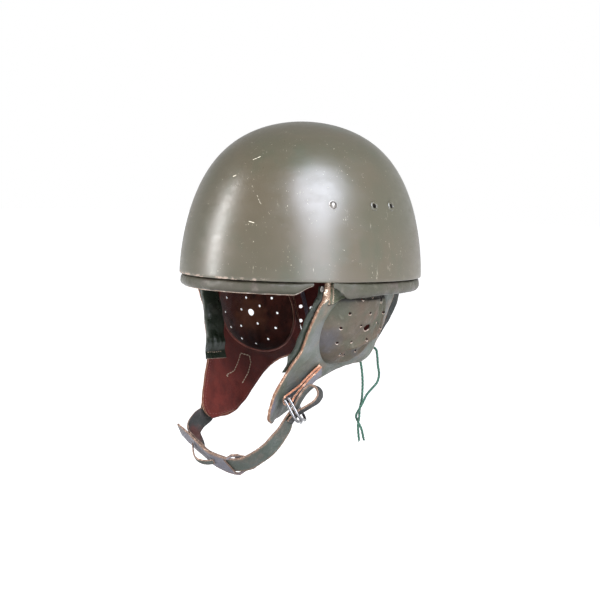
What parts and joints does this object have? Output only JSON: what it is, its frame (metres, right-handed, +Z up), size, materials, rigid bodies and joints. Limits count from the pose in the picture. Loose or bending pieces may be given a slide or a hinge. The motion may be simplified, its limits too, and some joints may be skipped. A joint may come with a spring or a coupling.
{
  "type": "uniform crash helmet with leather ear flaps",
  "caption": "Hard painted dome with a padded rim roll, perforated ear cups in leather flaps, a neck curtain, and a chin strap that a pair of rings closes.",
  "frame": {"origin": "centre of the head opening, on the plane of the shell's rim, where the helmet sits on a head", "axes": "+Z up through the crown, -Y the way the face looks, +X the wearer's left"},
  "size_m": [0.2376, 0.2888, 0.3799],
  "materials": {
    "shell_paint": "worn satin olive paint over a laminated fibre shell",
    "roll_leather": "rolled padded olive leather",
    "flap_leather": "worn grey-green leather",
    "cup_leather": "brownish olive moulded leather",
    "suede": "red-brown suede",
    "facing_leather": "smooth dark green leather",
    "tape": "woven purple-grey tape",
    "strap_leather": "grey-green leather with raw tan edges",
    "steel": "dull plated steel",
    "cord": "braided green cord"
  },
  "bodies": {
    "root": {"shell": "shell_paint", "rim_roll_front": "roll_leather", "rim_roll_rear": "roll_leather", "rivet_left": "steel", "rivet_right": "steel", "vent_eyelet_left_front": "shell_paint", "vent_eyelet_left_rear": "shell_paint", "vent_eyelet_right_front": "shell_paint", "vent_eyelet_right_rear": "shell_paint", "ear_flap_left": "flap_leather", "ear_flap_right": "flap_leather", "ear_cup_left": "cup_leather", "ear_cup_right": "cup_leather", "lining_left": "suede", "lining_right": "suede", "facing_left": "facing_leather", "facing_right": "facing_leather", "neck_curtain": "flap_leather", "lining_neck": "suede", "neck_seam_tape": "tape", "chin_strap": "strap_leather", "chin_pad": "strap_leather", "chin_keeper": "strap_leather", "ring_tab": "strap_leather", "d_ring_upper": "steel", "d_ring_lower": "steel", "neck_cord_a": "cord", "neck_cord_b": "cord"}
  },
  "joints": []
}
